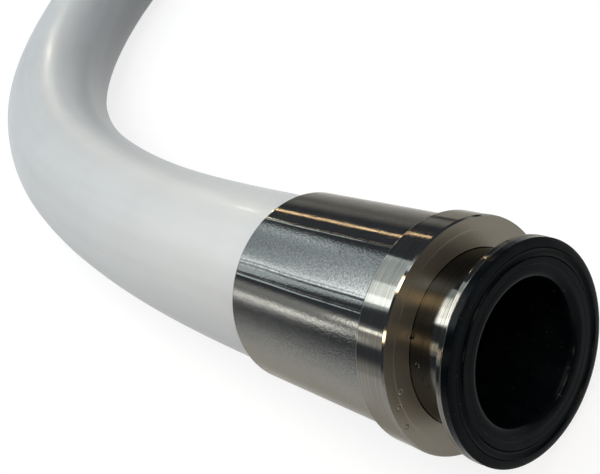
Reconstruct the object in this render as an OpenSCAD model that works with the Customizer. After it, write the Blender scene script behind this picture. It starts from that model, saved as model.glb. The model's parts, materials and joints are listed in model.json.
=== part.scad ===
// Lined transfer hose with a sanitary clamp end at each side.
// A black fluoropolymer liner runs from end to end and is flared over both
// clamp faces. It carries a wire braid and a smooth white rubber cover, and
// a steel sleeve is swaged over the hose onto the barbed tail of each end.
// Millimetres. The origin is the centre of the near sealing face, +X leaves
// the near bore, +Z is up, and the hose lies on the plane under the bands.

/* [Bore and liner] */
// Clear bore of the lined hose
bore_d = 32; // [30:0.5:33]
// Wall of the liner tube
liner_wall = 1.3; // [1:0.1:1.6]
// Thickness of the liner where it is flared over the clamp face
flare_t = 2.3; // [1.8:0.1:3]
// Round between the flared face and the bore
lip_r = 2.2; // [1:0.1:2.4]
// Round on the outer edge of the flare
flare_edge_r = 0.7; // [0.3:0.1:0.9]
// Diameter of the sealing groove on the face
groove_d = 44; // [42:0.1:45]
// Half the width of the sealing groove
groove_half = 1.1; // [0.8:0.1:1.4]
// Depth of the sealing groove
groove_depth = 0.7; // [0.3:0.1:0.8]

/* [Clamp flange and neck] */
// Outside diameter of the clamp flange
flange_d = 50.5; // [50:0.1:53]
// Straight edge of the steel flange
flange_edge = 1.3; // [1:0.1:2]
// Edge broken off the flange's corners
edge_break = 0.15; // [0.1:0.05:0.3]
// Slope of the flange's back, which the clamp grips
flange_slope = 20; // [15:1:25]
// How far the flare stays inside the steel edge
flare_inset = 0.1; // [0.05:0.05:0.5]
// Wall of the neck between flange and sleeve
neck_wall = 3; // [2.4:0.1:3.2]
// Round where the neck meets the flange's back
neck_round = 1.2; // [0.5:0.1:1.6]
// Sealing face to the front of the sleeve
sleeve_start = 15.9; // [14:0.1:20]
// Depth of the groove that the sleeve's front is pressed into
lock_depth = 0.6; // [0.3:0.1:0.8]
// Width of that groove
lock_w = 2; // [1.4:0.1:2.2]

/* [Barbed tail] */
// Wall of the tail that goes into the hose
tail_wall = 2; // [1.6:0.1:2.4]
// Height of each barb
barb_h = 0.5; // [0.3:0.1:0.7]
// Number of barbs
barb_count = 6; // [4:1:8]
// Distance from one barb to the next
barb_pitch = 6.8; // [5:0.1:6.8]
// Plain length at the tip of the tail
tail_tip = 5; // [3:0.5:8]

/* [Swaged sleeve] */
// Wall of the swaged part
sleeve_wall = 1.95; // [1.6:0.05:2.4]
// Length from the front of the sleeve to its mouth
sleeve_len = 59.6; // [58:0.1:70]
// How far the unswaged band stands above the swaged part
band_rise = 1.7; // [0.8:0.1:2.5]
// Width of the unswaged band
band_w = 8.6; // [6:0.1:12]
// Wall that closes the front of the sleeve
end_wall = 4.5; // [3:0.1:6]
// How much the front face falls back towards its rim
face_fall = 0.5; // [0.2:0.1:1]
// Chamfer on the edges of the band
band_chamfer = 0.4; // [0.2:0.1:0.7]
// Round on the outer edge of the mouth
mouth_r = 0.5; // [0.2:0.1:0.8]
// Height of the grip rings inside
grip_h = 0.3; // [0.2:0.05:0.4]
// Number of grip rings inside
grip_count = 5; // [3:1:6]

/* [Hose] */
// Outside diameter of the cover
hose_d = 48; // [47:0.5:52]
// Wall of the wire braid
braid_wall = 0.6; // [0.4:0.1:0.8]
// Length of the whole assembly along its centre line, face to face
assembly_len = 1200; // [1150:10:1500]

/* [Lay of the hose] */
// Straight length of the hose out of each sleeve
lead = 4; // [2:1:12]
// Bend radius of the first easing leg, next to a sleeve
ease_1_radius = 880; // [700:10:1100]
// Turn of the first easing leg, in degrees
ease_1_turn = 7.8; // [6:0.1:9.5]
// Bend radius of the second easing leg
ease_2_radius = 550; // [450:10:700]
// Turn of the second easing leg, in degrees
ease_2_turn = 5.6; // [4:0.1:8]
// Bend radius of the third easing leg
ease_3_radius = 330; // [260:10:450]
// Turn of the third easing leg, in degrees
ease_3_turn = 14.8; // [12:0.1:18]
// Bend radius of the wide turn between the easing legs
main_radius = 200; // [150:5:220]
// Length over which the hose comes down from a sleeve to the surface
dip_len = 120; // [80:10:140]
// Longest distance between two rings of flats along the hose
ring_gap = 34; // [25:1:45]

/* [Clearances] */
// Between parts that are turned to fit each other
fit_gap = 0.1; // [0.05:0.05:0.2]
// Between the layers of the hose
bond_gap = 0.05; // [0.03:0.01:0.1]

/* [Hidden] */
$fn = 64;

// Radii, from the bore outwards.
bore_r = bore_d / 2;
liner_r = bore_r + liner_wall;
spigot_r = liner_r + fit_gap;
neck_r = spigot_r + neck_wall;
tail_r = spigot_r + tail_wall;
flange_r = flange_d / 2;
flare_r = flange_r - flare_inset;
hose_r = hose_d / 2;
mouth_bore_r = hose_r + fit_gap;
sleeve_r = mouth_bore_r + sleeve_wall;
band_r = sleeve_r + band_rise;

// The hose layers have flat sides, so each is set by its corner radius.
sides = 24;
flat = cos(180 / sides);
skin_r = (liner_r + bond_gap) / flat;
braid_in = skin_r + bond_gap;
braid_out = braid_in + braid_wall;
cover_in = braid_out + bond_gap;
// On the tail the layers are pushed out over the barbs.
tail_braid_in = (tail_r + barb_h + bond_gap) / flat;
tail_braid_out = tail_braid_in + braid_wall;
tail_cover_in = tail_braid_out + bond_gap;
// Inside the sleeve the grip rings press the cover in.
gripped_r = mouth_bore_r - grip_h - bond_gap;

// Stations along the fitting, measured back from its sealing face.
rim_back = flare_t + flange_edge;
neck_start = rim_back + (flange_r - neck_r) * tan(flange_slope);
band_start = sleeve_start + face_fall;
seat_end = sleeve_start + end_wall;
mouth = sleeve_start + sleeve_len;
tail_end = seat_end + barb_count * barb_pitch + tail_tip + 1;
hose_cut = seat_end + fit_gap;

// The route in plan: [bend radius, turn in degrees], or [0, straight length].
// The far half eases out as the near half eases in.
ease_in = [[ease_1_radius, ease_1_turn], [ease_2_radius, ease_2_turn],
           [ease_3_radius, ease_3_turn]];
eased = ease_1_turn + ease_2_turn + ease_3_turn;
bends = [[0, lead], ease_in[0], ease_in[1], ease_in[2],
         [main_radius, 180 - 2 * eased],
         ease_in[2], ease_in[1], ease_in[0]];
function leg_len(leg) = leg[0] == 0 ? leg[1] : leg[0] * leg[1] * PI / 180;
function run_len(n) = n < 0 ? 0 : leg_len(bends[n]) + run_len(n - 1);
free_len = assembly_len - 2 * mouth;
legs = concat(bends, [[0, free_len - run_len(len(bends) - 1)]]);

// The sleeves carry the hose ends above the surface, and it dips to lie on it.
drop = band_r - hose_r;
function ease(u) = (1 - cos(180 * min(1, max(0, u)))) / 2;
function height(s) =
  -drop * (ease((s - lead) / dip_len) - ease((s - free_len + lead + dip_len) / dip_len));

// Plan position and heading after d millimetres of one leg from p.
function along(p, leg, d) =
  leg[0] == 0 ? [p.x + d * cos(p.z), p.y + d * sin(p.z), p.z]
  : let (h = p.z - d / leg[0] * 180 / PI)
    [p.x + leg[0] * (sin(p.z) - sin(h)), p.y - leg[0] * (cos(p.z) - cos(h)), h];
// Plan position and heading at s, which is 0 at the near sleeve's mouth.
function plan(s, i = 0, p = [-mouth, 0, 180]) =
  i == len(legs) - 1 || s <= leg_len(legs[i]) ? along(p, legs[i], s)
  : plan(s - leg_len(legs[i]), i + 1, along(p, legs[i], leg_len(legs[i])));
function centre(s) = let (p = plan(s)) [p.x, p.y, height(s)];
function direction(s) = let (d = centre(s + 0.5) - centre(s - 0.5)) d / norm(d);
far_plan = plan(free_len + mouth);
far_at = [far_plan.x, far_plan.y, 0];

// Stations of the rings between the two mouths.
ring_count = ceil(free_len / ring_gap);
free_stations = [for (i = [1:ring_count - 1]) free_len * i / ring_count];

// One ring of corner points round the route.
function ring(s, r) =
  let (c = centre(s), t = direction(s), h = plan(s).z, side = [-sin(h), cos(h), 0], up = cross(t, side))
  [for (k = [0:sides - 1]) c + r * (side * cos(360 * k / sides) + up * sin(360 * k / sides))];

// A tube swept along the route: rows of [station, outer radius, inner radius].
module swept_tube(rows) {
  last = len(rows) - 1;
  n = sides;
  inner = (last + 1) * n;
  points = concat([for (row = rows) each ring(row[0], row[1])],
                  [for (row = rows) each ring(row[0], row[2])]);
  skin = [for (i = [0:last - 1]) for (k = [0:n - 1])
    let (m = (k + 1) % n, a = i * n + k, b = i * n + m, c = a + n, d = b + n)
    each [[a, c, b], [b, c, d]]];
  lining = [for (f = skin) [f[0] + inner, f[2] + inner, f[1] + inner]];
  caps = [for (k = [0:n - 1])
    let (m = (k + 1) % n, e = last * n)
    each [[k, m, k + inner], [m, m + inner, k + inner],
          [e + k, e + k + inner, e + m], [e + m, e + k + inner, e + m + inner]]];
  polyhedron(points = points, faces = concat(skin, lining, caps), convexity = 6);
}

// The same rows for both ends: the far ones are counted back from the far mouth.
function both_ends(rows, middle) =
  concat(rows, middle, [for (i = [len(rows) - 1:-1:0]) [free_len - rows[i][0], rows[i][1], rows[i][2]]]);

// A profile of [radius, station back from the face], turned about the bore.
module turned() {
  rotate([0, -90, 0]) rotate_extrude() children();
}

// What is cut away to round the corner at p, whose material lies towards dr, dz.
module corner(p, dr, dz, r) {
  over = 0.1;
  difference() {
    translate([p.x - (dr > 0 ? over : r), p.y - (dz > 0 ? over : r)]) square(r + over);
    translate([p.x + dr * r, p.y + dz * r]) circle(r = r);
  }
}

// One end of the liner: flare, sealing groove, lip and bore.
module liner_end() {
  groove_r = (groove_half * groove_half + groove_depth * groove_depth) / (2 * groove_depth);
  turned() difference() {
    union() {
      translate([bore_r, 0]) square([flare_r - bore_r, flare_t]);
      translate([bore_r, 0]) square([liner_wall, mouth]);
    }
    corner([bore_r, 0], 1, 1, lip_r);
    corner([flare_r, 0], -1, 1, flare_edge_r);
    translate([groove_d / 2, groove_depth - groove_r]) circle(r = groove_r);
  }
}

// The liner's two ends, and the tube between them, which laps each by 2 mm.
module ptfe_liner() {
  lap = 2;
  thin_r = bore_r - bond_gap;
  color([0.03, 0.03, 0.035]) union() {
    liner_end();
    translate(far_at) liner_end();
    swept_tube(both_ends([[-lap, skin_r, thin_r], [0, skin_r, thin_r]],
                         [for (s = free_stations) [s, skin_r, thin_r]]));
  }
}

// Wire braid over the liner, opened out over each tail.
module wire_braid() {
  over = [hose_cut - mouth, tail_braid_out, tail_braid_in];
  over_end = [tail_end - mouth + 0.5, tail_braid_out, tail_braid_in];
  under = [0, braid_out, braid_in];
  color([0.55, 0.56, 0.58])
    swept_tube(both_ends([over, over_end, under],
                         [for (s = free_stations) [s, braid_out, braid_in]]));
}

// White rubber cover, gripped in each sleeve and smooth between them.
module hose_cover() {
  gripped = [hose_cut - mouth, gripped_r, tail_cover_in];
  gripped_end = [tail_end - mouth + 0.5, gripped_r, tail_cover_in];
  out = [0, hose_r, cover_in];
  color([0.93, 0.94, 0.95])
    swept_tube(both_ends([gripped, gripped_end, out],
                         [for (s = free_stations) [s, hose_r, cover_in]]));
}

// The round between the flange's sloping back and the neck.
module neck_fillet() {
  at = [neck_r + neck_round,
        neck_start + neck_round * (1 - sin(flange_slope)) / cos(flange_slope)];
  difference() {
    polygon([[neck_r - 0.5, neck_start - 1], [neck_r - 0.5, at.y], at,
             at - neck_round * [sin(flange_slope), cos(flange_slope)]]);
    translate(at) circle(r = neck_round);
  }
}

// Hose tail: clamp flange, neck and barbed tail, turned from one bar.
module spigot() {
  barbs = [for (i = [0:barb_count - 1])
    let (z = seat_end + 1 + i * barb_pitch)
    each [[tail_r, z], [tail_r + barb_h, z + 0.2], [tail_r, z + barb_pitch - 0.01]]];
  groove_at = (sleeve_start + seat_end) / 2;
  turned() polygon(concat(
    [[spigot_r, flare_t], [flange_r - edge_break, flare_t],
     [flange_r, flare_t + edge_break], [flange_r, rim_back - edge_break],
     [flange_r - edge_break, rim_back + edge_break * tan(flange_slope)],
     [neck_r, neck_start], [neck_r, groove_at - lock_w / 2],
     [neck_r - lock_depth, groove_at - lock_w / 2],
     [neck_r - lock_depth, groove_at + lock_w / 2],
     [neck_r, groove_at + lock_w / 2], [neck_r, seat_end - 0.3],
     [neck_r - 0.3, seat_end], [tail_r, seat_end]],
    barbs,
    [[tail_r, tail_end - 1], [tail_r - 0.7, tail_end], [spigot_r, tail_end]]));
  turned() neck_fillet();
}

// Sleeve: front wall locked in the neck's groove, unswaged band, and the part
// swaged down onto the hose, with grip rings inside.
module sleeve() {
  front_r = neck_r + bond_gap;
  lock_r = front_r - lock_depth;
  lock_half = lock_w / 2 - bond_gap;
  lock_at = (sleeve_start + seat_end) / 2;
  grip_from = band_start + band_w + 2;
  pitch = (tail_end - 1 - grip_from) / (grip_count - 1);
  grips = [for (i = [grip_count - 1:-1:0])
    let (z = grip_from + i * pitch)
    each [[mouth_bore_r, z + 1], [mouth_bore_r - grip_h, z + 0.3],
          [mouth_bore_r - grip_h, z - 0.3], [mouth_bore_r, z - 1]]];
  turned() difference() {
    polygon(concat(
      [[front_r, sleeve_start], [band_r - band_chamfer, band_start],
       [band_r, band_start + band_chamfer], [band_r, band_start + band_w - band_chamfer],
       [band_r - band_chamfer, band_start + band_w], [sleeve_r, band_start + band_w],
       [sleeve_r, mouth], [mouth_bore_r, mouth]],
      grips,
      [[mouth_bore_r, seat_end], [front_r, seat_end], [front_r, lock_at + lock_half],
       [lock_r, lock_at + lock_half], [lock_r, lock_at - lock_half],
       [front_r, lock_at - lock_half]]));
    corner([sleeve_r, mouth], -1, -1, mouth_r);
  }
}

module near_spigot() {
  color([0.62, 0.62, 0.6]) union() spigot();
}

module far_spigot() {
  color([0.62, 0.62, 0.6]) translate(far_at) union() spigot();
}

module near_sleeve() {
  color([0.5, 0.52, 0.54]) sleeve();
}

module far_sleeve() {
  color([0.5, 0.52, 0.54]) translate(far_at) sleeve();
}

ptfe_liner();
wire_braid();
hose_cover();
near_spigot();
near_sleeve();
far_spigot();
far_sleeve();
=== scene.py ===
"""Lined transfer hose with sanitary clamp ends, dressed for a studio picture.

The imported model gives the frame: the origin is the centre of the near sealing
face, +X leaves the near bore and +Z is up. Everything here is in metres.
"""

from __future__ import annotations

import json
import logging
import math
from dataclasses import dataclass, field, replace
from enum import IntEnum
from typing import NamedTuple

import bmesh
import bpy
from bpy.types import ID, Material, Mesh, Node, NodeTree, Object
from bpy.types import NodeSocket as Socket
from mathutils import Matrix, Vector
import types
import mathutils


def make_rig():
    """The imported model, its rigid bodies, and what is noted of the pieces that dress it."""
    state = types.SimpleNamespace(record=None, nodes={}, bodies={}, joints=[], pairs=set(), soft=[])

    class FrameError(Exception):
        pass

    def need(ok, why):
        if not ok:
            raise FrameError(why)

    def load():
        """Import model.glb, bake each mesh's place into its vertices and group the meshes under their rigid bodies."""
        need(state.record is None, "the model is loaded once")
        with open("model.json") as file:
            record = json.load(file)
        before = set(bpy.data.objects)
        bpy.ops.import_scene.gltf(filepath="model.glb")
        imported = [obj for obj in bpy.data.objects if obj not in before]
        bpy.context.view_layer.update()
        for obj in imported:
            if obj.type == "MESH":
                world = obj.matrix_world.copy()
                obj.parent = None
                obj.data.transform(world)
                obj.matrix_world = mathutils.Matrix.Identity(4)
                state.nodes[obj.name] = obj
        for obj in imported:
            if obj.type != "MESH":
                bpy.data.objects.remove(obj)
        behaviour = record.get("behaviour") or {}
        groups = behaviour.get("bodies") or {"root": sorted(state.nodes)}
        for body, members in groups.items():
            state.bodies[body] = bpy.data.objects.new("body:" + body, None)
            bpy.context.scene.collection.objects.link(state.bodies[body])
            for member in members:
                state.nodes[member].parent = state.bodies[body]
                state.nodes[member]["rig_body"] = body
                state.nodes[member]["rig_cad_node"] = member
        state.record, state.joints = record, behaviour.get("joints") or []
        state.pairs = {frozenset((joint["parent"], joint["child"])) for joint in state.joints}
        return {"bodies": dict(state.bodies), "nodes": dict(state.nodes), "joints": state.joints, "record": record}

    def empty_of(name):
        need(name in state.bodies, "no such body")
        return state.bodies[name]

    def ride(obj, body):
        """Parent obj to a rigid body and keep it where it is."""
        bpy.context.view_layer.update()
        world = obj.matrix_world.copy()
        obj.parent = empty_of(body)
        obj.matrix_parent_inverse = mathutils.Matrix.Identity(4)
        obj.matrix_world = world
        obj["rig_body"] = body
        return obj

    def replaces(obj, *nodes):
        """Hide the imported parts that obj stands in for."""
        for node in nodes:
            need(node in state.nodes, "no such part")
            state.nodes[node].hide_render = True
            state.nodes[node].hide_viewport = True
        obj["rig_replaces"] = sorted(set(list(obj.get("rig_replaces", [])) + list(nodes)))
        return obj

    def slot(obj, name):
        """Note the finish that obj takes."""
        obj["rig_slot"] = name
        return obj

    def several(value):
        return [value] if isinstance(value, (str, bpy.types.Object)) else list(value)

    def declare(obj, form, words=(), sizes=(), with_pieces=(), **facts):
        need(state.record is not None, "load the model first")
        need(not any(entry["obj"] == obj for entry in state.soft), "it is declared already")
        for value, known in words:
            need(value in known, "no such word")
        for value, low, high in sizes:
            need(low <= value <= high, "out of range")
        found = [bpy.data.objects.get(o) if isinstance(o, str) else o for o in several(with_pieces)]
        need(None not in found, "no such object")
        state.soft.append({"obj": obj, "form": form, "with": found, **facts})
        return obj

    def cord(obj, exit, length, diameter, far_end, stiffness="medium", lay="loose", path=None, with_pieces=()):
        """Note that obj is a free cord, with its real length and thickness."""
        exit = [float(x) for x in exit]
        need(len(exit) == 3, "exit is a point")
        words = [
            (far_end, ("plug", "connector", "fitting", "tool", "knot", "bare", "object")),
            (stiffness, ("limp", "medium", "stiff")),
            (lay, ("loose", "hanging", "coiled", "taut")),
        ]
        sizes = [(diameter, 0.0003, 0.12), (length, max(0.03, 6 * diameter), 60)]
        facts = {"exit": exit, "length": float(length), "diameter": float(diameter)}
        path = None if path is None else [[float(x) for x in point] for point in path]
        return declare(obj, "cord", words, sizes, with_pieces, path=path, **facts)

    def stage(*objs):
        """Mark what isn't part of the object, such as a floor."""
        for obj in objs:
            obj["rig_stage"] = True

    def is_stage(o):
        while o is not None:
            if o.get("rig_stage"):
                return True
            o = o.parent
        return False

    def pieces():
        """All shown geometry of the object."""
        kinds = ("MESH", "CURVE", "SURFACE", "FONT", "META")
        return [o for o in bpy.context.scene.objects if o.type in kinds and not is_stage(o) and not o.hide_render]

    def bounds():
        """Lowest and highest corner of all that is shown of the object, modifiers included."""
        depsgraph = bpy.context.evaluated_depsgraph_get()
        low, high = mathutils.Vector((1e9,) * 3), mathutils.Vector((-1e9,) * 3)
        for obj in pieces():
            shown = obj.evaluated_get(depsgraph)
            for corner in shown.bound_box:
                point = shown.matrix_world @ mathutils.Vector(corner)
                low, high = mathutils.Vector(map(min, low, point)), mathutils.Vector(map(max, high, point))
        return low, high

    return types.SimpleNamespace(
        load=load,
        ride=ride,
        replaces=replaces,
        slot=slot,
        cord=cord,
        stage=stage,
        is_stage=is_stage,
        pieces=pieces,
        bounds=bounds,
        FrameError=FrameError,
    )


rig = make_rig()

log = logging.getLogger("lined_hose")

MM = 0.001
SIZE_FILE = "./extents.json"

Pair = tuple[float, float]
Triple = tuple[float, float, float]
Profile = list[Pair]
# What an input can be given: a socket, a node's first output or a plain value
Value = Socket | Node | float | str | tuple

BLACK: Triple = (0.0, 0.0, 0.0)
WHITE: Triple = (1.0, 1.0, 1.0)


class Zone(IntEnum):
    """Which finish a stretch of a turned steel piece has."""

    TURNED = 0
    SWAGED = 1


# Sizes that several pieces share


@dataclass(frozen=True)
class HoseSizes:
    """Sizes of the hose and its ends, as in the part's source."""

    bore_r: float = 16.0 * MM
    liner_wall: float = 1.3 * MM
    flare_t: float = 2.3 * MM
    flare_r: float = 25.15 * MM
    lip_r: float = 2.2 * MM
    groove_r: float = 22.0 * MM
    groove_half: float = 1.1 * MM
    groove_depth: float = 0.7 * MM
    flange_r: float = 25.25 * MM
    flange_edge: float = 1.3 * MM
    flange_slope: float = math.radians(20)
    spigot_r: float = 17.4 * MM
    neck_r: float = 20.4 * MM
    neck_round: float = 1.2 * MM
    sleeve_start: float = 15.9 * MM
    seat_end: float = 20.4 * MM
    lock_depth: float = 0.6 * MM
    lock_w: float = 2.0 * MM
    tail_r: float = 19.4 * MM
    tail_end: float = 67.2 * MM
    barb_h: float = 0.5 * MM
    barb_pitch: float = 6.8 * MM
    barb_count: int = 6
    mouth: float = 75.5 * MM
    mouth_bore_r: float = 24.1 * MM
    sleeve_r: float = 26.05 * MM
    band_r: float = 27.75 * MM
    band_start: float = 16.4 * MM
    band_w: float = 8.6 * MM
    band_chamfer: float = 0.4 * MM
    hose_r: float = 24.0 * MM
    cover_in: float = 18.2 * MM
    length: float = 1200.0 * MM

    @property
    def lock_at(self) -> float:
        """Station of the middle of the lock groove."""
        return (self.sleeve_start + self.seat_end) / 2


def ease(u: float) -> float:
    """Smooth rise from 0 to 1 while u goes from 0 to 1."""
    return (1 - math.cos(math.pi * min(1.0, max(0.0, u)))) / 2


@dataclass(frozen=True)
class Route:
    """Centre line of the hose between the two sleeve mouths, as in the part's source.

    Each bend is (radius, turn in degrees), and a straight leg is (0, length).
    """

    sizes: HoseSizes = HoseSizes()
    lead: float = 4.0 * MM
    dip_len: float = 120.0 * MM
    bends: tuple[Pair, ...] = (
        (0.880, 7.8), (0.550, 5.6), (0.330, 14.8), (0.200, 123.6),
        (0.330, 14.8), (0.550, 5.6), (0.880, 7.8),
    )

    @property
    def free_len(self) -> float:
        """Length between the two sleeve mouths."""
        return self.sizes.length - 2 * self.sizes.mouth

    @property
    def legs(self) -> list[Pair]:
        """All legs, with the straight ones at both ends."""
        run = self.lead + sum(r * math.radians(turn) for r, turn in self.bends)
        return [(0.0, self.lead), *self.bends, (0.0, self.free_len - run)]

    def plan(self, s: float) -> Triple:
        """Where the centre line is in plan.

        Args:
            s: Distance from the near mouth along the route.

        Returns:
            x, y and the heading in radians.
        """
        x, y, heading = -self.sizes.mouth, 0.0, math.pi
        legs = self.legs
        for number, (radius, amount) in enumerate(legs):
            leg_len = amount if radius == 0 else radius * math.radians(amount)
            d = s if number == len(legs) - 1 or s <= leg_len else leg_len
            if radius == 0:
                x += d * math.cos(heading)
                y += d * math.sin(heading)
            else:
                turned = heading - d / radius
                x += radius * (math.sin(heading) - math.sin(turned))
                y -= radius * (math.cos(heading) - math.cos(turned))
                heading = turned
            if d == s:
                break
            s -= leg_len
        return x, y, heading

    def height(self, s: float) -> float:
        """Height of the centre line, which dips until the hose lies on the floor.

        Args:
            s: Distance from the near mouth along the route.

        Returns:
            Height from the axis of the fittings, 0 or less.
        """
        down = ease((s - self.lead) / self.dip_len)
        up = ease((s - self.free_len + self.lead + self.dip_len) / self.dip_len)
        return -(self.sizes.band_r - self.sizes.hose_r) * (down - up)

    def point(self, s: float) -> Vector:
        """Point of the centre line at s from the near mouth."""
        x, y, _ = self.plan(s)
        return Vector((x, y, self.height(s)))

    def points(self, start: float, end: float, step: float) -> list[Vector]:
        """Evenly spaced points of the centre line.

        Args:
            start: First station.
            end: Last station.
            step: Largest distance between two points.

        Returns:
            The points, both ends included.
        """
        count = math.ceil((end - start) / step)
        return [self.point(start + (end - start) * i / count) for i in range(count + 1)]

    @property
    def far_face(self) -> Vector:
        """Centre of the far sealing face."""
        x, y, _ = self.plan(self.free_len + self.sizes.mouth)
        return Vector((x, y, 0.0))


# Node-tree helpers


@dataclass(frozen=True)
class Grain:
    """A noise texture. Its scale can differ by axis."""

    scale: float | Triple
    detail: float = 2.0
    rough: float = 0.5


@dataclass(frozen=True)
class Relief:
    """A bump: its strength, and the height in metres of a full step."""

    strength: float
    height: float


class Nodes:
    """Short calls for filling a node tree."""

    def __init__(self, tree: NodeTree) -> None:
        """Keeps the tree and empties it."""
        self.tree = tree
        tree.nodes.clear()

    def add(self, kind: str, /, *args: Value, **values: Value) -> Node:
        """Adds a node.

        Args:
            kind: Type name of the node.
            args: Values or sockets for the first inputs.
            values: Attributes of the node; keys that name an input, with
                spaces as underscores, set or link that input.

        Returns:
            The new node.
        """
        node = self.tree.nodes.new(kind)
        inputs = {}
        for key, value in values.items():
            if hasattr(node, key):
                setattr(node, key, value)
            else:
                inputs[key] = value
        for socket, value in zip(node.inputs, args):
            self.put(socket, value)
        self.fill(node, **inputs)
        return node

    def fill(self, node: Node, **values: Value) -> None:
        """Sets or links inputs of a node, named with underscores for their spaces."""
        for key, value in values.items():
            self.put(node.inputs[key.replace("_", " ")], value)

    def put(self, socket: Socket, value: Value) -> None:
        """Links an input to an output, or sets its value.

        Args:
            socket: The input.
            value: A socket, a node for its first output, or a plain value;
                a colour can leave out its alpha.
        """
        if isinstance(value, Socket):
            self.tree.links.new(value, socket)
        elif isinstance(value, Node):
            self.tree.links.new(value.outputs[0], socket)
        elif socket.type == "RGBA":
            socket.default_value = (*value[:3], 1.0)
        else:
            socket.default_value = value

    def math(self, operation: str, a: Value, b: Value = 0.0, c: Value = 0.0) -> Socket:
        """Result of a Math node."""
        return self.add("ShaderNodeMath", a, b, c, operation=operation).outputs[0]

    def stretch(self, at: Value, scale: Triple) -> Socket:
        """A place with each of its axes scaled."""
        return self.add("ShaderNodeMapping", at, Scale=scale).outputs[0]

    def noise(self, at: Value, grain: Grain) -> Socket:
        """Factor of a noise texture.

        Args:
            at: Place where the texture is read.
            grain: Scale, detail and roughness.

        Returns:
            The factor, about a half on average.
        """
        scale = grain.scale
        if isinstance(scale, tuple):
            at, scale = self.stretch(at, scale), 1.0
        return self.add(
            "ShaderNodeTexNoise", Vector=at, Scale=scale, Detail=grain.detail,
            Roughness=grain.rough).outputs[0]

    def ramp(self, value: Value, stops: list[tuple[float, Triple]]) -> Socket:
        """Colour ramp over a value, which eases between its stops.

        Args:
            value: What drives the ramp.
            stops: Position and colour of each stop.

        Returns:
            The colour socket.
        """
        node = self.add("ShaderNodeValToRGB", value)
        node.color_ramp.interpolation = "EASE"
        for element, (position, colour) in zip(node.color_ramp.elements, stops):
            element.position = position
            element.color = (*colour, 1.0)
        return node.outputs[0]

    def rise(self, value: Value, start: float, end: float) -> Socket:
        """Eased step from 0 to 1 while a value goes from start to end."""
        return self.ramp(value, [(start, BLACK), (end, WHITE)])

    def mix(self, factor: Value, a: Value, b: Value) -> Socket:
        """Colour between a and b.

        Args:
            factor: 0 for a, 1 for b.
            a: First colour.
            b: Second colour.

        Returns:
            The colour socket.
        """
        node = self.add("ShaderNodeMix", data_type="RGBA")
        for name, value in zip(("Factor_Float", "A_Color", "B_Color"), (factor, a, b)):
            socket = next(s for s in node.inputs if s.identifier == name)
            self.put(socket, value)
        return next(s for s in node.outputs if s.identifier == "Result_Color")

    def spread(self, value: Value, low: float, high: float, top: float = 1.0,
               kind: str = "LINEAR") -> Socket:
        """Result that goes from low to high while a value goes from 0 to top."""
        return self.add(
            "ShaderNodeMapRange", value, From_Max=top, To_Min=low, To_Max=high,
            interpolation_type=kind).outputs[0]

    def bump(self, height: Value, relief: Relief, under: Socket | None = None) -> Socket:
        """Bumped normal.

        Args:
            height: Height socket.
            relief: Strength and full height of the bump.
            under: Normal to build on.

        Returns:
            The normal socket.
        """
        node = self.add("ShaderNodeBump", Strength=relief.strength,
                        Distance=relief.height, Height=height)
        if under is not None:
            self.fill(node, Normal=under)
        return node.outputs[0]


def new_material(name: str) -> tuple[Material, Nodes, Node]:
    """A material with an empty tree, its output and its surface shader.

    Args:
        name: Name of the material.

    Returns:
        The material, its node helper and the Principled shader.
    """
    material = bpy.data.materials.new(name)
    material.use_nodes = True
    nodes = Nodes(material.node_tree)
    shader = nodes.add("ShaderNodeBsdfPrincipled")
    nodes.add("ShaderNodeOutputMaterial", shader)
    return material, nodes, shader


def object_place(nodes: Nodes) -> Socket:
    """The object's own coordinates."""
    return nodes.add("ShaderNodeTexCoord").outputs["Object"]


# Finishes


@dataclass(frozen=True)
class CoverRubber:
    """Smooth glossy white rubber with a faint mottle and few flow marks along it."""

    colour: Triple = (0.735, 0.765, 0.775)
    shade: Triple = (0.69, 0.715, 0.725)
    shade_ends: float = 0.34
    colour_starts: float = 0.6
    roughness: Pair = (0.36, 0.45)
    flow: Grain = Grain((5.0, 5.0, 7.0), 3.0)
    cloud: Grain = Grain(22.0, 3.0)
    flow_share: float = 0.4
    gloss: Grain = Grain(160.0, 3.0)
    fine: Grain = Grain(900.0)
    flow_relief: Relief = Relief(0.25, 0.4 * MM)
    fine_relief: Relief = Relief(0.1, 0.03 * MM)
    light_depth: float = 4.0 * MM

    def make(self) -> Material:
        """Builds the material, which reads the sweep's own along and around attributes.

        Returns:
            The material.
        """
        material, nodes, shader = new_material("cover_rubber")
        along, around = (nodes.add("ShaderNodeAttribute", attribute_name=name).outputs["Fac"]
                         for name in ("along", "around"))
        angle = nodes.math("MULTIPLY", around, math.tau)
        at = nodes.add("ShaderNodeCombineXYZ", nodes.math("COSINE", angle),
                       nodes.math("SINE", angle), along)
        place = object_place(nodes)
        flow = nodes.noise(at, self.flow)
        cloud = nodes.math("MULTIPLY", nodes.noise(place, self.cloud), 1 - self.flow_share)
        tone = nodes.math("MULTIPLY_ADD", flow, self.flow_share, cloud)
        stops = [(self.shade_ends, self.shade), (self.colour_starts, self.colour)]
        gloss = nodes.noise(place, self.gloss)
        low = nodes.bump(flow, self.flow_relief)
        nodes.fill(
            shader,
            Base_Color=nodes.ramp(tone, stops),
            Roughness=nodes.spread(gloss, *self.roughness),
            Normal=nodes.bump(nodes.noise(place, self.fine), self.fine_relief, low),
            IOR=1.45, Coat_Weight=0.07, Coat_Roughness=0.1, Subsurface_Weight=0.08,
            Subsurface_Radius=(self.light_depth,) * 3, Subsurface_Scale=0.5,
        )
        return material


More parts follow.
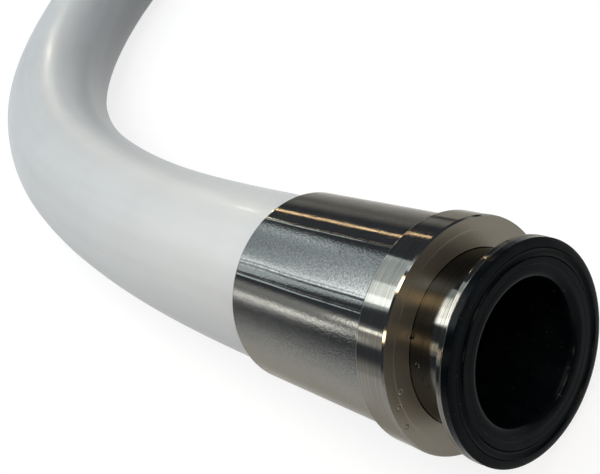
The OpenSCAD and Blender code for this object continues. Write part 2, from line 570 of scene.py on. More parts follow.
@dataclass(frozen=True)
class LinerPlastic:
    """Black conductive liner: a smooth, waxy gloss with a few pale nicks."""

    colour: Triple = (0.0018, 0.0028, 0.0038)
    worn: Triple = (0.005, 0.0065, 0.008)
    nicked: Triple = (0.06, 0.064, 0.068)
    tint: Triple = (0.8, 0.95, 1.0)
    roughness: Pair = (0.09, 0.23)
    cloud: Grain = Grain(140.0, 4.0, 0.6)
    worn_from: float = 0.4
    nick: Grain = Grain((700.0, 1900.0, 500.0))
    nick_from: float = 0.71
    nick_share: float = 0.5
    fully: float = 0.75
    fine: Grain = Grain(900.0)
    fine_relief: Relief = Relief(0.12, 0.02 * MM)
    nick_relief: Relief = Relief(0.3, 0.06 * MM)

    def make(self) -> Material:
        """Builds the material.

        Returns:
            The material.
        """
        material, nodes, shader = new_material("black_liner")
        place = object_place(nodes)
        cloud = nodes.noise(place, self.cloud)
        nicks = nodes.rise(nodes.noise(place, self.nick), self.nick_from, self.fully)
        base = nodes.mix(nodes.rise(cloud, self.worn_from, self.fully), self.colour, self.worn)
        share = nodes.math("MULTIPLY", nicks, self.nick_share)
        fine = nodes.bump(nodes.noise(place, self.fine), self.fine_relief)
        nodes.fill(
            shader,
            Base_Color=nodes.mix(share, base, self.nicked),
            Roughness=nodes.spread(cloud, *self.roughness),
            Normal=nodes.bump(nicks, self.nick_relief, fine),
            IOR=1.37, Specular_IOR_Level=0.075, Specular_Tint=self.tint,
        )
        return material


@dataclass(frozen=True)
class BraidWire:
    """Crossing steel wires of the hidden braid."""

    colour: Triple = (0.5, 0.5, 0.52)
    gap_colour: Triple = (0.12, 0.12, 0.13)
    lays: tuple[Triple, Triple] = ((700.0, 700.0, 500.0), (700.0, -700.0, -500.0))
    relief: Relief = Relief(0.8, 0.3 * MM)

    def make(self) -> Material:
        """Builds the material.

        Returns:
            The material.
        """
        material, nodes, shader = new_material("braid_wire")
        place = object_place(nodes)
        left, right = (nodes.add("ShaderNodeTexWave", Vector=nodes.stretch(place, lay),
                                 Scale=1.0).outputs["Fac"] for lay in self.lays)
        weave = nodes.math("MAXIMUM", left, right)
        nodes.fill(shader, Base_Color=nodes.mix(weave, self.gap_colour, self.colour),
                   Normal=nodes.bump(weave, self.relief), Metallic=1.0, Roughness=0.35)
        return material


class BorePlace(NamedTuple):
    """Place on a turned piece. The angle goes from -pi to pi and is pi / 2 at the top."""

    about: Socket
    station: Socket
    radius: Socket
    angle: Socket


def bore_place(nodes: Nodes, centre_y: float) -> BorePlace:
    """Places on a turned piece, about its own bore.

    Args:
        nodes: Node helper.
        centre_y: Where the bore's axis lies in Y.

    Returns:
        The object coordinates about the bore, and their parts round it.
    """
    about = nodes.add("ShaderNodeVectorMath", object_place(nodes), (0.0, -centre_y, 0.0),
                      operation="ADD").outputs[0]
    x, y, z = nodes.add("ShaderNodeSeparateXYZ", about).outputs
    squares = nodes.math("ADD", nodes.math("MULTIPLY", y, y), nodes.math("MULTIPLY", z, z))
    return BorePlace(about, x, nodes.math("SQRT", squares), nodes.math("ARCTAN2", z, y))


@dataclass(frozen=True)
class TurnedSteel:
    """Fine-turned stainless steel: tool lines round the bore, and the faces that look along the bore painted in
    another tone: painted shade where it is darker than the steel, painted light where it is lighter.

    Each ding is (station, radius, angle in degrees), the first two in mm.
    """

    centre_y: float
    name: str
    colour: Triple = (0.3, 0.295, 0.275)
    stain: Triple = (0.19, 0.17, 0.13)
    grooved: Triple = (0.12, 0.117, 0.107)
    # painted shade: the faces that look along the bore take this darker, browner tone in place of the shade that they
    # mirror
    face: Triple = (0.21, 0.195, 0.16)
    face_from: float = 0.8
    face_to: float = 0.96
    face_scatter: float = 0.24
    roughness: float = 0.085
    face_roughness: float = 0.2
    lines: Grain = Grain(3600.0, 4.0, 0.75)
    wide: Grain = Grain(1500.0)
    round_scale: float = 0.35
    stained: Pair = (-0.35, 0.85)
    lined: Pair = (-0.9, 1.5)
    face_clouded: Pair = (1.2, 0.5)
    uneven: Pair = (-0.03, 0.04)
    cloud: Grain = Grain(80.0, 4.0, 0.6)
    line_relief: Relief = Relief(0.3, 0.01 * MM)
    ding_relief: Relief = Relief(0.6, 0.16 * MM)
    ding_r: float = 0.75 * MM
    dings: tuple[Triple, ...] = (
        (16.1, 20.9, 125.0), (16.2, 24.0, 155.0), (16.3, 25.4, 162.0),
        (16.3, 25.8, 174.0), (13.4, 20.4, 141.0),
    )

    def make(self) -> Material:
        """Builds the material.

        Returns:
            The material.
        """
        material, nodes, shader = new_material(self.name)
        place = bore_place(nodes, self.centre_y)
        lines = self.ringed(nodes, place, self.lines)
        cloud = nodes.noise(place.about, self.cloud)
        tone = nodes.mix(nodes.spread(cloud, *self.stained), self.colour, self.stain)
        tone = nodes.mix(nodes.spread(lines, *self.lined), tone, self.grooved)
        # the way each surface faces picks the faces that take the painted tone: painted shade on the sleeve, painted
        # light on the spigot
        normal = nodes.add("ShaderNodeTexCoord").outputs["Normal"]
        facing = nodes.math("ABSOLUTE", nodes.add("ShaderNodeSeparateXYZ", normal))
        facing = nodes.rise(facing, self.face_from, self.face_to)
        share = nodes.math("MULTIPLY", facing, nodes.spread(cloud, *self.face_clouded))
        wide = self.ringed(nodes, place, self.wide)
        rough = nodes.math("ADD", *(nodes.spread(at, *self.uneven) for at in (wide, cloud)))
        rough = nodes.math("MULTIPLY_ADD", facing, self.face_roughness, rough)
        dented = nodes.bump(self.dented(nodes, place), self.ding_relief)
        nodes.fill(
            shader,
            Base_Color=nodes.mix(share, tone, self.face),
            Roughness=nodes.math("ADD", rough, self.roughness),
            Metallic=nodes.math("MULTIPLY_ADD", facing, -self.face_scatter, 1.0),
            Normal=nodes.bump(lines, self.line_relief, dented),
            Tangent=nodes.add("ShaderNodeTangent", direction_type="RADIAL", axis="X"),
            Anisotropic=0.6, Anisotropic_Rotation=0.25, Specular_Tint=(0.5, 0.48, 0.44),
        )
        return material

    def dented(self, nodes: Nodes, place: BorePlace) -> Value:
        """Height of the small round dings, each a pit in a raised rim.

        Args:
            nodes: Node helper.
            place: Place on the piece.

        Returns:
            The height, from -1 to 1.
        """
        height: Value = 0.0
        for station, radius, degrees in self.dings:
            angle = math.radians(degrees)
            spot = (-station * MM, radius * math.cos(angle) * MM, radius * math.sin(angle) * MM)
            far = nodes.add("ShaderNodeVectorMath", place.about, spot,
                            operation="DISTANCE").outputs["Value"]
            pit = nodes.spread(far, -1.0, 0.0, self.ding_r)
            rim = nodes.math("SINE", nodes.math("MULTIPLY", pit, math.tau))
            height = nodes.math("ADD", height, rim)
        return height

    def ringed(self, nodes: Nodes, place: BorePlace, grain: Grain) -> Socket:
        """Noise that changes fast along the bore and across it, and slowly round it.

        Args:
            nodes: Node helper.
            place: Place on the piece.
            grain: The noise, with its scale along and across the bore.

        Returns:
            Its factor.
        """
        scales = (grain.scale, grain.scale, self.round_scale)
        parts = zip((place.station, place.radius, place.angle), scales)
        at = nodes.add("ShaderNodeCombineXYZ", *(nodes.math("MULTIPLY", *p) for p in parts))
        return nodes.noise(at, replace(grain, scale=1.0))


@dataclass(frozen=True)
class SwagedSteel:
    """Swaged stainless steel: a frosty grain, burnished bands and creases between the dies, with the frosty bands
    darker, partly their own dull tone and partly painted shade.

    Each share goes from the burnished bands to the frosty ones. Each crease is
    (angle, half width), both in degrees, and a groove if the width is negative.
    """

    centre_y: float
    name: str
    colour: Triple = (0.27, 0.267, 0.25)
    # partly painted shade: the frosty bands, set round the bore by angle, take this darker tone to dim the reflections
    # there
    dull_and_shade: Triple = (0.185, 0.189, 0.187)
    dark: Triple = (0.06, 0.06, 0.061)
    roughness: float = 0.17
    dies: int = 8
    burnished_at: float = 75.0
    sway: Grain = Grain((25.0, 60.0, 60.0))
    band_sway: float = 0.09
    crease_sway: float = 0.025
    grain: Grain = Grain(2200.0, 2.0, 0.7)
    cloud: Grain = Grain((170.0, 260.0, 260.0), 5.0, 0.7)
    grain_relief: Relief = Relief(1.0, 0.05 * MM)
    cloud_relief: Relief = Relief(0.2, 0.04 * MM)
    crease_relief: Relief = Relief(1.0, 0.04 * MM)
    speckled: Pair = (-0.9, 1.75)
    speck_share: Pair = (0.25, 0.7)
    rough_clouded: Pair = (0.3, 1.8)
    rough_share: Pair = (0.35, 1.0)
    grain_share: Pair = (0.15, 1.0)
    crease_fade: Pair = (0.4, 1.4)
    creases: tuple[Pair, ...] = ((112.0, 1.6), (118.5, -1.3), (83.0, 1.0), (202.0, 1.4))

    def make(self) -> Material:
        """Builds the material.

        Returns:
            The material.
        """
        material, nodes, shader = new_material(self.name)
        place = bore_place(nodes, self.centre_y)
        sway = nodes.noise(place.about, self.sway)
        swayed, creased = (nodes.math("ADD", place.angle, nodes.spread(sway, -by, by))
                           for by in (self.band_sway, self.crease_sway))
        # the bands are set round the bore from burnished_at, so that the painted shade of the frosty ones falls where
        # the reflections are to be dimmer
        burnished = -math.radians(self.burnished_at) * self.dies
        turn = nodes.math("MULTIPLY_ADD", swayed, self.dies, burnished)
        frost_and_shade = nodes.math("MULTIPLY_ADD", nodes.math("COSINE", turn), -0.5, 0.5)
        grain = nodes.noise(place.about, self.grain)
        cloud = nodes.noise(place.about, self.cloud)
        speck = nodes.math("MULTIPLY", nodes.spread(grain, *self.speckled),
                           nodes.spread(frost_and_shade, *self.speck_share))
        # painted shade, in part: the frosty bands take the darker tone
        tone = nodes.mix(frost_and_shade, self.colour, self.dull_and_shade)
        rough = nodes.math("MULTIPLY", nodes.spread(frost_and_shade, *self.rough_share),
                           nodes.spread(cloud, *self.rough_clouded))
        grained = nodes.math("MULTIPLY", grain, nodes.spread(frost_and_shade, *self.grain_share))
        normal = nodes.bump(self.creased(nodes, creased, cloud), self.crease_relief)
        normal = nodes.bump(cloud, self.cloud_relief, normal)
        nodes.fill(
            shader,
            Base_Color=nodes.mix(speck, tone, self.dark),
            Roughness=nodes.math("MULTIPLY", rough, self.roughness),
            Normal=nodes.bump(grained, self.grain_relief, normal),
            Metallic=1.0, Specular_Tint=(0.6, 0.58, 0.53),
        )
        return material

    def creased(self, nodes: Nodes, angle: Socket, cloud: Socket) -> Socket:
        """Height of the lengthwise creases, which fade in and out.

        Args:
            nodes: Node helper.
            angle: Angle round the bore.
            cloud: Noise that they fade with.

        Returns:
            The height.
        """
        height: Value = 0.0
        for degrees, width in self.creases:
            middle = math.radians((degrees + 180) % 360 - 180)
            off = nodes.math("ABSOLUTE", nodes.math("SUBTRACT", angle, middle))
            side, half = math.copysign(1.0, width), math.radians(abs(width))
            ridge = nodes.spread(off, side, 0.0, half, "SMOOTHSTEP")
            height = nodes.math("ADD", height, ridge)
        return nodes.math("MULTIPLY", height, nodes.spread(cloud, *self.crease_fade))


# Meshes


def new_object(name: str, data: ID) -> Object:
    """An object in the scene, at the origin."""
    item = bpy.data.objects.new(name, data)
    bpy.context.scene.collection.objects.link(item)
    return item


def arc(centre: Pair, radius: float, start: float, end: float, steps: int) -> Profile:
    """Points of an arc in a profile.

    Args:
        centre: Centre as (radius from the bore, station).
        radius: Radius of the arc.
        start: First angle in degrees.
        end: Last angle in degrees.
        steps: Number of pieces.

    Returns:
        The points, both ends included.
    """
    angles = [math.radians(start + (end - start) * i / steps) for i in range(steps + 1)]
    return [(centre[0] + radius * math.cos(a), centre[1] + radius * math.sin(a))
            for a in angles]


def held(profile: Profile, zones: list[int], gap: float = 0.12 * MM) -> tuple[Profile, list[int]]:
    """Outline with a point close beside each corner, so that its long stretches stay flat.

    Args:
        profile: Closed outline.
        zones: Material number of each stretch.
        gap: Distance of the new points from their corners.

    Returns:
        The outline and its zones with the new points.
    """
    points: Profile = []
    kinds: list[int] = []
    for i, (start, zone) in enumerate(zip(profile, zones)):
        end = profile[(i + 1) % len(profile)]
        run = math.dist(start, end)
        shares = (0.0, gap / run, 1 - gap / run) if run > 4 * gap else (0.0,)
        for share in shares:
            points.append((start[0] + (end[0] - start[0]) * share,
                           start[1] + (end[1] - start[1]) * share))
            kinds.append(zone)
    return points, kinds


def finished(name: str, work: bmesh.types.BMesh, sharp: float) -> Object:
    """Object from a bmesh, which is freed.

    Args:
        name: Name of the object and its mesh.
        work: The bmesh.
        sharp: Edges that turn by more than this, in degrees, stay crisp.

    Returns:
        The object, at the origin, with its place in its mesh.
    """
    bmesh.ops.recalc_face_normals(work, faces=work.faces)
    mesh = bpy.data.meshes.new(name)
    work.to_mesh(mesh)
    work.free()
    mesh.set_sharp_from_angle(angle=math.radians(sharp))
    return new_object(name, mesh)


def turned_piece(name: str, profile: Profile, centre: Vector, steps: int = 256,
                 zones: list[int] | None = None) -> Object:
    """A closed piece turned about a bore that runs along X.

    Args:
        name: Name of the object.
        profile: Closed outline as (radius, station back from the face).
        centre: Centre of the sealing face.
        steps: Number of stations round the bore.
        zones: Material number of each stretch of the outline.

    Returns:
        The object.
    """
    work = bmesh.new()
    outline, kinds = held(profile, zones or [Zone.TURNED] * len(profile))
    rings = []
    for number in range(steps):
        turn = math.tau * number / steps
        y, z = math.cos(turn), math.sin(turn)
        rings.append([work.verts.new((centre.x - at, centre.y + r * y, centre.z + r * z))
                      for r, at in outline])
    for number, ring in enumerate(rings):
        following = rings[(number + 1) % steps]
        for i, kind in enumerate(kinds):
            k = (i + 1) % len(outline)
            face = work.faces.new((ring[i], ring[k], following[k], following[i]))
            face.smooth = True
            face.material_index = kind
    return finished(name, work, sharp=16)


class SweepTree:
    """Geometry Nodes tree that sweeps a round section along a curve."""

    def __init__(self) -> None:
        """Builds the tree with its named inputs."""
        tree = bpy.data.node_groups.new("hose_sweep", "GeometryNodeTree")
        given = {"Route": "Geometry", "Radius": "Float", "Sides": "Int", "Material": "Material"}
        for name, kind in given.items():
            tree.interface.new_socket(name, in_out="INPUT", socket_type=f"NodeSocket{kind}")
        tree.interface.new_socket("Tube", in_out="OUTPUT", socket_type="NodeSocketGeometry")
        nodes = Nodes(tree)
        given = nodes.add("NodeGroupInput").outputs
        line = nodes.add("GeometryNodeSetCurveNormal", given["Route"], mode="Z_UP")
        spot = nodes.add("GeometryNodeSplineParameter").outputs
        circle = nodes.add(
            "GeometryNodeCurvePrimitiveCircle", mode="RADIUS", Resolution=given["Sides"],
            Radius=given["Radius"])
        kept = ((line, "along", spot["Length"]), (circle, "around", spot["Factor"]))
        line, circle = (
            nodes.add("GeometryNodeStoreNamedAttribute", curve, data_type="FLOAT",
                      domain="POINT", Name=name, Value=value) for curve, name, value in kept)
        tube = nodes.add("GeometryNodeCurveToMesh", line, circle)
        tube = nodes.add("GeometryNodeSetShadeSmooth", tube)
        tube = nodes.add("GeometryNodeRealizeInstances", tube)
        tube = nodes.add("GeometryNodeSetMaterial", tube, Material=given["Material"])
        nodes.add("NodeGroupOutput", tube)
        self.tree = tree

    def skin(self, name: str, points: list[Vector], radius: float, sides: int,
             material: Material) -> Mesh:
        """Sweeps a round section along points.

        Args:
            name: Name of the mesh.
            points: Points of the centre line.
            radius: Radius of the section.
            sides: Number of its sides.
            material: Material of the skin.

        Returns:
            A plain mesh, open at both ends.
        """
        curve = bpy.data.curves.new(name, "CURVE")
        curve.dimensions = "3D"
        spline = curve.splines.new("POLY")
        spline.points.add(len(points) - 1)
        for target, point in zip(spline.points, points):
            target.co = (*point, 1.0)
        holder = new_object(name, curve)
        modifier = holder.modifiers.new("sweep", "NODES")
        modifier.node_group = self.tree
        values = {"Radius": radius, "Sides": sides, "Material": material}
        for item in self.tree.interface.items_tree:
            if item.in_out == "INPUT" and item.name in values:
                modifier[item.identifier] = values[item.name]
        bpy.context.view_layer.update()
        graph = bpy.context.evaluated_depsgraph_get()
        mesh = bpy.data.meshes.new_from_object(holder.evaluated_get(graph), depsgraph=graph)
        bpy.data.objects.remove(holder)
        bpy.data.curves.remove(curve)
        mesh.name = name
        return mesh

    def tube(self, name: str, points: list[Vector], radii: Pair, sides: int,
             material: Material, reach: float = 0.1) -> Object:
        """Sweeps the two skins of a tube and joins them at both ends.

        Args:
            name: Name of the object.
            points: Points of the centre line.
            radii: Outer and inner radius.
            sides: Number of sides of each skin.
            material: Material of the tube.
            reach: Open edges within this distance of the first are at its end.

        Returns:
            The object.
        """
        work = bmesh.new()
        for radius in radii:
            work.from_mesh(self.skin(f"{name}_skin", points, radius, sides, material))
        edges = [e for e in work.edges if e.is_boundary]
        halves: dict[bool, list[bmesh.types.BMEdge]] = {True: [], False: []}
        start = edges[0].verts[0].co.copy()
        for edge in edges:
            halves[(edge.verts[0].co - start).length < reach].append(edge)
        for loop in halves.values():
            bmesh.ops.bridge_loops(work, edges=loop)
        piece = finished(name, work, sharp=40)
        piece.data.materials.append(material)
        return piece


# Sub-assemblies


@dataclass
class Cover:
    """White rubber cover from the inside of one sleeve to the inside of the other."""

    sizes: HoseSizes
    route: Route
    sweep: SweepTree
    finish: CoverRubber = field(default_factory=CoverRubber)
    hidden: float = 6.0 * MM
    step: float = 4.0 * MM
    sides: int = 128
    path_every: int = 4
    points: list[Vector] = field(init=False)

    def __post_init__(self) -> None:
        """Lays the points of the centre line."""
        end = self.route.free_len + self.hidden
        self.points = self.route.points(-self.hidden, end, self.step)

    def build(self) -> Object:
        """Builds the cover.

        Returns:
            The cover.
        """
        radii = (self.sizes.hose_r, self.sizes.cover_in)
        piece = self.sweep.tube(
            "hose_cover_rubber", self.points, radii, self.sides, self.finish.make())
        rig.replaces(piece, "hose_cover")
        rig.ride(piece, "root")
        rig.slot(piece, "cover")
        return piece

    def declare(self, piece: Object, ends: list[Object]) -> None:
        """Args:
            piece: The cover.
            ends: Pieces of the far end fitting.
        """
        path = [tuple(p) for p in self.points[::self.path_every]]
        if path[-1] != tuple(self.points[-1]):
            path.append(tuple(self.points[-1]))
        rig.cord(piece, exit=path[0], length=self.route.free_len + 2 * self.hidden,
                diameter=2 * self.sizes.hose_r, far_end="fitting", stiffness="stiff",
                lay="loose", path=path, with_pieces=ends)


@dataclass
class Liner:
    """Black liner: the bore from end to end and the flare over each clamp face."""

    sizes: HoseSizes
    route: Route
    sweep: SweepTree
    finish: LinerPlastic = field(default_factory=LinerPlastic)
    edge_round: Pair = (1.85 * MM, 0.5 * MM)
    groove_lands: Pair = (0.15 * MM, 0.2 * MM)
    face_step: tuple[Pair, ...] = (
        (19.6 * MM, 0.0), (19.5 * MM, 0.06 * MM), (19.2 * MM, 0.06 * MM), (19.1 * MM, 0.0))
    bore_stations: Pair = (20.0 * MM, 45.0 * MM)
    lap: float = 1.0 * MM
    tuck: float = 0.02 * MM
    tube_step: float = 12.0 * MM
    tube_sides: int = 64

    def end_profile(self) -> Profile:
        """Outline of one end: tube wall, back of the flare, rim, groove, lip and bore.

        Returns:
            The closed outline as (radius, station).
        """
        z = self.sizes
        tube_r = z.bore_r + z.liner_wall
        half, depth = z.groove_half, z.groove_depth
        groove = (half * half + depth * depth) / (2 * depth)
        swing = math.degrees(math.asin(half / groove))
        wide, deep = self.edge_round
        outer_land, inner_land = self.groove_lands
        return [
            (tube_r, z.mouth), (tube_r, z.flare_t), (z.flare_r, z.flare_t),
            *((z.flare_r - wide + wide * x, deep + deep * y)
              for x, y in arc((0.0, 0.0), 1.0, 0, -90, 12)),
            (z.groove_r + half + outer_land, 0.0),
            *arc((z.groove_r, depth - groove), groove, 90 - swing, 90 + swing, 12),
            (z.groove_r - half - inner_land, 0.0),
            *self.face_step,
            *arc((z.bore_r + z.lip_r, z.lip_r), z.lip_r, -90, -180, 18),
            *((z.bore_r, station) for station in (*self.bore_stations, z.mouth)),
        ]

    def build(self) -> list[Object]:
        """Builds both ends and the tube between them.

        Returns:
            The near end, the far end and the tube.
        """
        material = self.finish.make()
        z = self.sizes
        pieces = []
        for name, centre in (("near_liner_flare", Vector((0, 0, 0))),
                             ("far_liner_flare", self.route.far_face)):
            end = turned_piece(name, self.end_profile(), centre)
            end.data.materials.append(material)
            pieces.append(end)
        points = self.route.points(-self.lap, self.route.free_len + self.lap, self.tube_step)
        radii = (z.bore_r + z.liner_wall - self.tuck, z.bore_r + self.tuck)
        pieces.append(self.sweep.tube("liner_tube", points, radii, self.tube_sides, material))
        for piece in pieces:
            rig.replaces(piece, "ptfe_liner")
            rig.ride(piece, "root")
            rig.slot(piece, "liner")
        return pieces


@dataclass
class EndFitting:
    """One end's hose tail and sleeve, both of stainless steel."""

    side: str
    centre: Vector
    sizes: HoseSizes
    edge: float = 0.15 * MM
    seam: float = 0.12 * MM
    foot: float = 0.12 * MM
    fit: float = 0.05 * MM
    neck_break: float = 0.3 * MM
    barb_lead: float = 1.0 * MM
    barb_slope: float = 0.2 * MM
    tail_break: float = 0.7 * MM
    face_step: tuple[Pair, ...] = ((24.6 * MM, 0.28 * MM), (24.75 * MM, 0.33 * MM))
    sleeve_stations: Pair = (40.0 * MM, 60.0 * MM)
    mouth_r: float = 0.5 * MM

    def spigot_profile(self) -> Profile:
        """Outline of the clamp flange, neck and barbed tail.

        Returns:
            The closed outline as (radius, station).
        """
        z = self.sizes
        rim_back = z.flare_t + z.flange_edge
        rim_r = z.flange_r - self.edge
        slope = z.flange_slope
        tilt = math.degrees(slope)
        neck_start = rim_back + (z.flange_r - z.neck_r) * math.tan(slope)
        fillet_at = (z.neck_r + z.neck_round,
                     neck_start + z.neck_round * (1 - math.sin(slope)) / math.cos(slope))
        lock_r = z.neck_r - z.lock_depth
        lock_from, lock_to = z.lock_at - z.lock_w / 2, z.lock_at + z.lock_w / 2
        outline = [
            (z.spigot_r, z.tail_end), (z.spigot_r, z.flare_t), (rim_r, z.flare_t),
            *arc((rim_r, z.flare_t + self.edge), self.edge, -90, 0, 8),
            *arc((rim_r, rim_back - self.edge), self.edge, 0, 90 - tilt, 6),
            *arc(fillet_at, z.neck_round, -90 - tilt, -180, 12),
            (z.neck_r, z.sleeve_start - self.neck_break), (z.neck_r, lock_from),
            (lock_r, lock_from), (lock_r, lock_to), (z.neck_r, lock_to),
            (z.neck_r, z.seat_end - self.neck_break), (z.neck_r - self.neck_break, z.seat_end),
            (z.tail_r, z.seat_end),
        ]
        for number in range(z.barb_count):
            at = z.seat_end + self.barb_lead + number * z.barb_pitch
            outline += [(z.tail_r, at), (z.tail_r + z.barb_h, at + self.barb_slope)]
        outline += [(z.tail_r, z.tail_end - self.barb_lead),
                    (z.tail_r - self.tail_break, z.tail_end)]
        return outline

    def sleeve_profile(self) -> tuple[Profile, list[int]]:
        """Outline of the sleeve and the finish of each stretch.

        Returns:
            The closed outline as (radius, station), and the zones.
        """
        z = self.sizes
        front_r = z.neck_r + self.fit
        lip_r = front_r - z.lock_depth
        half = z.lock_w / 2 - self.fit
        lip_from, lip_to = z.lock_at - half, z.lock_at + half
        band_end = z.band_start + z.band_w
        chamfer = z.band_chamfer
        front = [
            (front_r, z.seat_end), (front_r, lip_to), (lip_r, lip_to), (lip_r, lip_from),
            (front_r, lip_from), (front_r, z.sleeve_start + self.seam),
            (front_r + self.seam, z.sleeve_start),
            *((radius, z.sleeve_start + back) for radius, back in self.face_step),
            (z.band_r - chamfer, z.band_start), (z.band_r, z.band_start + chamfer),
            *arc((z.band_r - chamfer, band_end - chamfer), chamfer, 0, 90, 8),
        ]
        skin = [
            (z.sleeve_r - self.foot, band_end), (z.sleeve_r - self.foot, band_end + self.foot),
            (z.sleeve_r, band_end + 2.5 * self.foot),
            *((z.sleeve_r, station) for station in self.sleeve_stations),
            *arc((z.sleeve_r - self.mouth_r, z.mouth - self.mouth_r), self.mouth_r, 0, 90, 10),
        ]
        inside = [(z.mouth_bore_r, z.mouth), (z.mouth_bore_r, z.seat_end)]
        zones = [Zone.TURNED] * len(front) + [Zone.SWAGED] * len(skin)
        return [*front, *skin, *inside], zones + [Zone.TURNED] * len(inside)

    def build(self) -> list[Object]:
        """Builds the spigot and the sleeve of this end.

        Returns:
            The spigot and the sleeve.
        """
        turned = TurnedSteel(self.centre.y, f"{self.side}_turned_steel").make()
        swaged = SwagedSteel(self.centre.y, f"{self.side}_swaged_steel").make()
        # painted light: the spigot's faces that look along the bore, the back of the flange among them, take a tone
        # much lighter than the rest of it
        tail = TurnedSteel(
            self.centre.y, f"{self.side}_tail_steel", colour=(0.22, 0.215, 0.2),
            stain=(0.14, 0.125, 0.095), grooved=(0.08, 0.078, 0.07),
            face=(0.45, 0.42, 0.34), face_scatter=0.14, face_roughness=0.1).make()
        spigot = turned_piece(f"{self.side}_clamp_spigot", self.spigot_profile(), self.centre)
        spigot.data.materials.append(tail)
        outline, zones = self.sleeve_profile()
        sleeve = turned_piece(f"{self.side}_swaged_sleeve", outline, self.centre, zones=zones)
        sleeve.data.materials.append(turned)
        sleeve.data.materials.append(swaged)
        for piece, node in ((spigot, "spigot"), (sleeve, "sleeve")):
            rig.replaces(piece, f"{self.side}_{node}")
            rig.ride(piece, "root")
            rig.slot(piece, node)
        return [spigot, sleeve]


# Studio


def turned_to(right: Vector, up: Vector, back: Vector) -> Matrix:
    """Rotation of an object whose own X, Y and Z point along right, up and back."""
    return Matrix((right, up, back)).transposed().to_4x4()


@dataclass(frozen=True)
class Panel:
    """A soft lamp that faces the near fitting.

    towards is the direction from the fitting to the lamp, and glow its brightness
    as seen. soft is the share of its width and of its height that fades at each
    edge. grid is half the angle of its light in degrees, or 0 for all of it.
    """

    name: str
    towards: Triple
    distance: float
    width: float
    height: float
    glow: float
    colour: Triple
    target: Triple = (-0.04, 0.0, 0.0)
    soft: Pair = (0.0, 0.0)
    grid: float = 0.0

    def fade(self, nodes: Nodes) -> Value:
        """Brightness over the panel, which falls off towards its soft edges.

        Args:
            nodes: Node helper of the lamp.

        Returns:
            The brightness, from 0 to 1.
        """
        spot = nodes.add("ShaderNodeNewGeometry").outputs["Parametric"]
        level: Value = 1.0
        for place, share in zip(nodes.add("ShaderNodeSeparateXYZ", spot).outputs, self.soft):
            if share > 0.0:
                near_edge = nodes.math("PINGPONG", place, 0.5)
                rise = nodes.spread(near_edge, 0.0, 1.0, share, "SMOOTHSTEP")
                level = nodes.math("MULTIPLY", rise, level)
        return level

    def make(self) -> None:
        """Makes the lamp, with its width square to the bore."""
        lamp = bpy.data.lights.new(self.name, "AREA")
        lamp.shape = "RECTANGLE"
        lamp.size = self.width
        lamp.size_y = self.height
        lamp.color = self.colour
        lamp.energy = self.glow * math.pi * self.width * self.height
        if self.grid:
            half = math.radians(self.grid)
            lamp.spread = 2 * half
            lamp.energy *= (math.tan(half) - half) / math.tan(half)
        if any(self.soft):
            lamp.use_nodes = True
            nodes = Nodes(lamp.node_tree)
            glow = nodes.add("ShaderNodeEmission", Strength=self.fade(nodes))
            nodes.add("ShaderNodeOutputLight", glow)
        holder = new_object(self.name, lamp)
        back = Vector(self.towards).normalized()
        across = Vector((1.0, 0.0, 0.0)).cross(back).normalized()
        place = Matrix.Translation(Vector(self.target) + back * self.distance)
        holder.matrix_world = place @ turned_to(across, back.cross(across), back)


PANELS = (
    Panel("key_softbox", (0.05, -0.05, 0.99), 1.7, 1.5, 1.5, 2.15, (0.99, 1.0, 1.0)),
    Panel("front_softbox", (0.72, 0.3, 0.62), 1.6, 0.42, 0.32, 13.0, (0.88, 0.96, 1.0),
          grid=9.0),
    Panel("rear_softbox", (-0.744, 0.01, 0.66), 1.3, 0.88, 0.75, 1.2, (0.84, 0.96, 1.0)),
    Panel("rear_strip", (-0.765, -0.2, 0.612), 1.3, 0.13, 0.62, 1.9, (0.93, 0.99, 1.0)),
    Panel("band_softbox", (-0.685, -0.145, 0.71), 1.3, 0.35, 0.11, 2.3, (0.95, 1.0, 1.0)),
    Panel("edge_strip", (-0.785, 0.285, 0.55), 1.3, 0.06, 0.26, 2.4, (0.88, 0.98, 1.0)),
    Panel("low_fill", (-0.744, -0.53, 0.4), 1.3, 0.36, 0.6, 0.5, (1.0, 1.0, 0.95),
          soft=(0.2, 0.0)),
    Panel("cream_strip", (-0.815, -0.497, 0.297), 1.3, 0.12, 0.4, 3.2, (1.0, 0.99, 0.93),
          soft=(0.3, 0.1)),
    Panel("band_strip", (-0.7, -0.53, 0.478), 1.3, 0.06, 0.12, 4.0, (1.0, 0.98, 0.9),
          soft=(0.2, 0.2)),
    Panel("gold_strip", (-0.732, 0.585, 0.349), 1.3, 0.009, 0.7, 18.0, (1.0, 0.7, 0.4)),
    Panel("neck_softbox", (-0.63, -0.07, 0.774), 1.3, 0.72, 0.1, 5.0, (1.0, 1.0, 0.96),
          soft=(0.15, 0.0)),
    Panel("neck_gold", (-0.635, -0.6, 0.48), 1.3, 0.2, 0.12, 1.3, (1.0, 0.75, 0.45),
          soft=(0.3, 0.3), grid=16.0),
    Panel("front_gold", (0.69, 0.03, 0.72), 1.3, 0.26, 0.3, 30.0, (1.0, 0.74, 0.46), grid=9.0),
    Panel("low_gold", (0.67, -0.55, 0.49), 1.3, 0.16, 0.3, 17.0, (1.0, 0.74, 0.46), grid=9.0),
    Panel("hose_spark", (-0.707, 0.576, 0.411), 0.5, 0.03, 0.03, 45.0, (1.0, 0.98, 0.85),
          target=(-0.334, 0.0635, 0.017)),
)


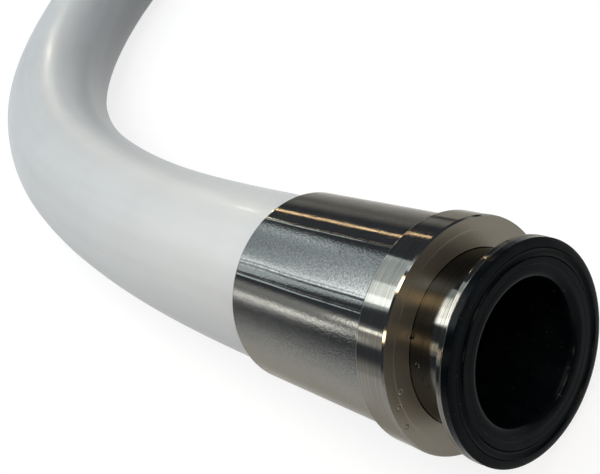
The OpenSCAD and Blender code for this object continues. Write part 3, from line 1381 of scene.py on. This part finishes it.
@dataclass
class Studio:
    """Camera, floor, world and lamps."""

    floor_z: float
    right: Triple = (0.65518, 0.5494, -0.51855)
    up: Triple = (-0.12514, 0.75583, 0.64269)
    back: Triple = (0.74504, -0.35619, 0.56395)
    eye: Triple = (117.71 * MM, -65.22 * MM, 148.09 * MM)
    lens: float = 55.0
    shift: Pair = (-0.106, -0.0496)
    floor_half: float = 8.0
    floor_colour: Triple = (0.25, 0.25, 0.25)
    floor_lift: float = 0.81
    room: Triple = (0.095, 0.107, 0.128)
    room_from: float = 0.2
    horizon: Triple = (0.65, 0.65, 0.64)
    horizon_to: float = 0.04
    panels: tuple[Panel, ...] = PANELS

    def camera(self) -> None:
        """Makes the camera at the photograph's viewing angle."""
        data = bpy.data.cameras.new("camera")
        data.sensor_fit = "HORIZONTAL"
        data.sensor_width = 36.0
        data.lens = self.lens
        data.shift_x, data.shift_y = self.shift
        data.clip_start = 0.01
        data.clip_end = 50.0
        camera = new_object("camera", data)
        turn = turned_to(Vector(self.right), Vector(self.up), Vector(self.back))
        camera.matrix_world = Matrix.Translation(self.eye) @ turn
        bpy.context.scene.camera = camera

    def floor(self) -> None:
        """Makes the plain pale floor, which the camera and the metal see as nearly white."""
        mesh = bpy.data.meshes.new("floor")
        corners = [(x * self.floor_half, y * self.floor_half, self.floor_z)
                   for x, y in ((-1, -1), (1, -1), (1, 1), (-1, 1))]
        mesh.from_pydata(corners, [], [(0, 1, 2, 3)])
        floor = new_object("floor", mesh)
        material, nodes, shader = new_material("pale_floor")
        path = nodes.add("ShaderNodeLightPath").outputs
        seen = nodes.math("MAXIMUM", path["Is Glossy Ray"], path["Is Transmission Ray"])
        seen = nodes.math("MAXIMUM", path["Is Camera Ray"], seen)
        nodes.fill(shader, Base_Color=self.floor_colour, Roughness=0.9, Specular_IOR_Level=0.1,
                   Emission_Color=WHITE,
                   Emission_Strength=nodes.math("MULTIPLY", seen, self.floor_lift))
        mesh.materials.append(material)
        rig.stage(floor)

    def world(self) -> None:
        """Makes the room: pale near the horizon and dim above it, between the lamps."""
        world = bpy.data.worlds.new("room")
        bpy.context.scene.world = world
        world.use_nodes = True
        nodes = Nodes(world.node_tree)
        at = nodes.add("ShaderNodeTexCoord").outputs["Generated"]
        height = nodes.add("ShaderNodeSeparateXYZ", at).outputs["Z"]
        shade = nodes.ramp(height, [(self.horizon_to, self.horizon), (self.room_from, self.room)])
        nodes.add("ShaderNodeOutputWorld", nodes.add("ShaderNodeBackground", shade, 1.0))

    def build(self) -> None:
        """Builds the whole studio."""
        self.camera()
        self.floor()
        self.world()
        for panel in self.panels:
            panel.make()
        bpy.context.scene.view_settings.view_transform = "Standard"


def main() -> None:
    """Builds the hose, its ends and the studio, and reports each piece."""
    logging.basicConfig(level=logging.INFO, format="%(message)s")
    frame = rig.load()
    cad_box = [list(corner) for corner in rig.bounds()]
    sizes = HoseSizes()
    route = Route(sizes)
    Studio(floor_z=-sizes.band_r).build()
    sweep = SweepTree()
    cover = Cover(sizes, route, sweep)
    hose = cover.build()
    pieces = [hose]
    ends = {}
    for side, centre in (("near", Vector((0.0, 0.0, 0.0))), ("far", route.far_face)):
        ends[side] = EndFitting(side, centre, sizes).build()
        pieces += ends[side]
    liner = Liner(sizes, route, sweep).build()
    pieces += liner
    braid = frame["nodes"]["wire_braid"]
    wire = BraidWire().make()
    for slot in braid.material_slots:
        slot.material = wire
    cover.declare(hose, [*ends["far"], liner[1]])
    for piece in pieces:
        log.info("%s: %d faces", piece.name, len(piece.data.polygons))
    seen_box = [list(corner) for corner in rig.bounds()]
    with open(SIZE_FILE, "w", encoding="utf-8") as out:
        json.dump({"cad": cad_box, "visual": seen_box}, out)


if __name__ == "__main__":
    main()
